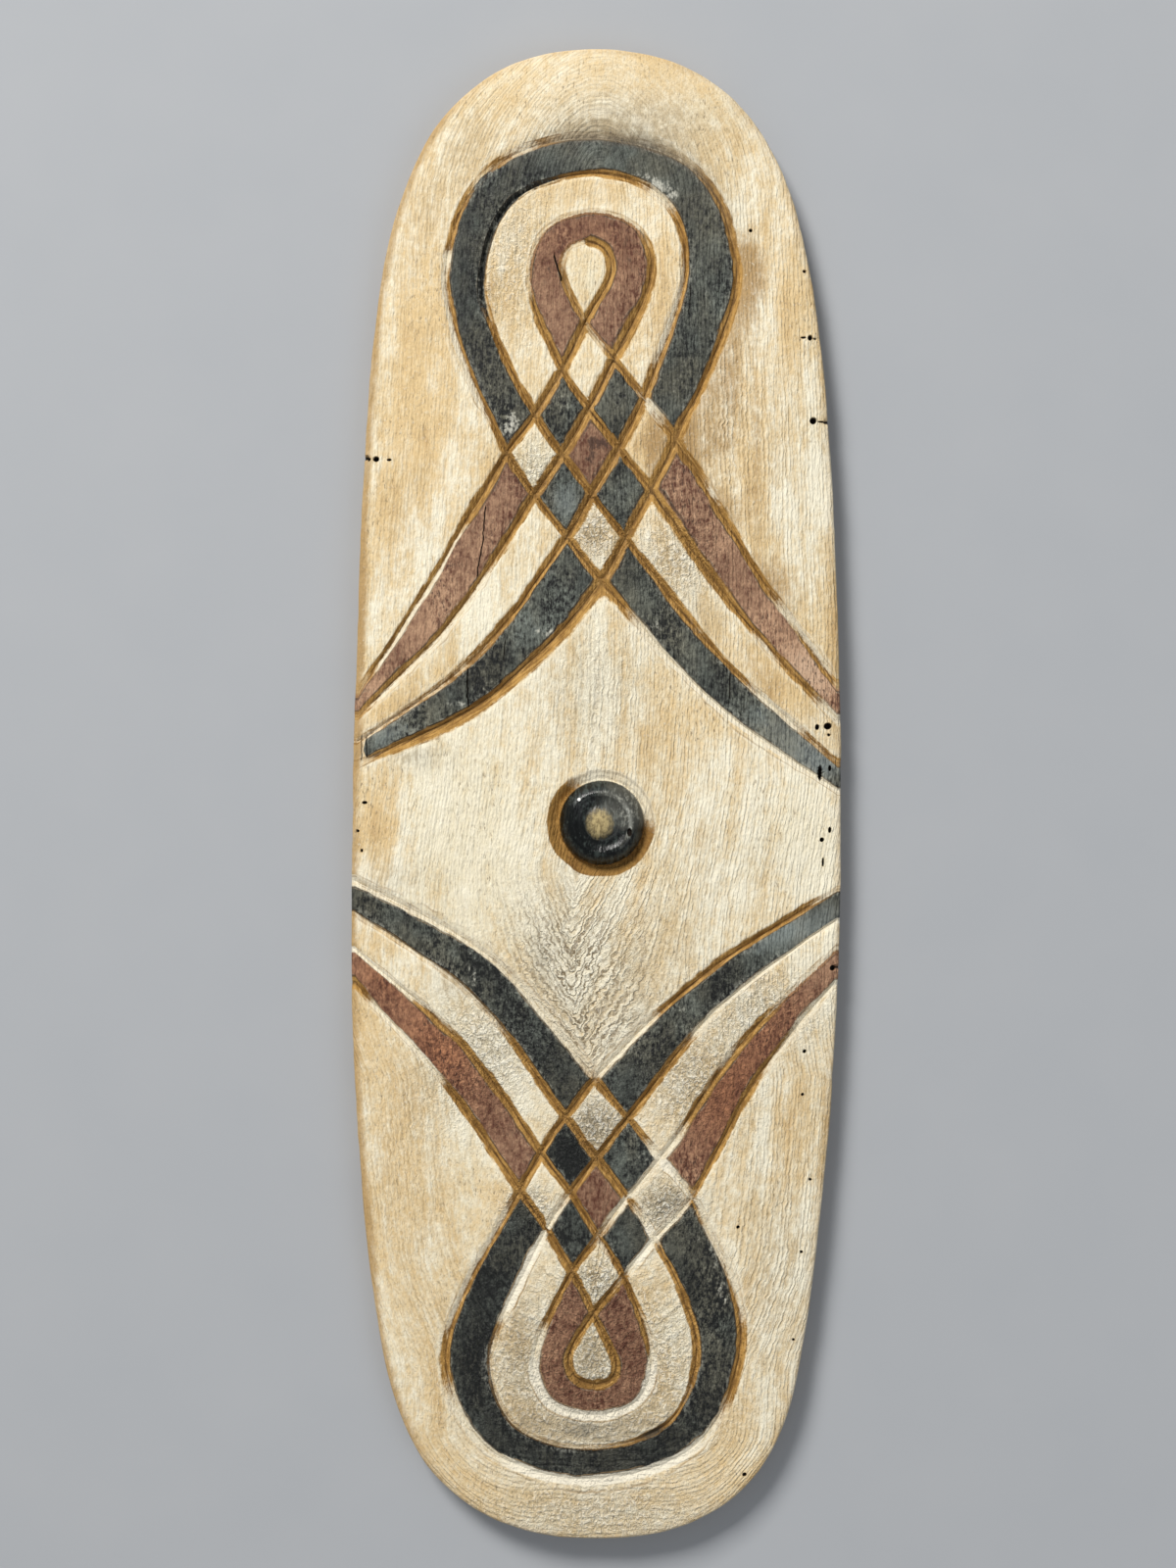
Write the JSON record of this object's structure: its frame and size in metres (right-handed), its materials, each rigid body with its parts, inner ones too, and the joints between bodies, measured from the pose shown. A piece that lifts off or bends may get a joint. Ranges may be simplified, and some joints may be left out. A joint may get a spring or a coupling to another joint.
{
  "type": "carved wooden shield",
  "caption": "Long oval wooden shield carved from one board, with a round boss and plaited loop bands cut in V grooves and painted black, red and cream; lies on its hollowed back.",
  "frame": {"origin": "middle of the shield's outline, on the plane its back rim rests on", "axes": "+X to the right of the painted face, +Y towards its upper end, +Z out of the painted face"},
  "size_m": [0.2255, 0.6848, 0.0256],
  "materials": {
    "painted_wood": "dry pale wood with a worn chalky cream wash, charcoal black and brick red bands and bare brown grooves"
  },
  "bodies": {
    "root": {"shield_board": "painted_wood"}
  },
  "joints": []
}
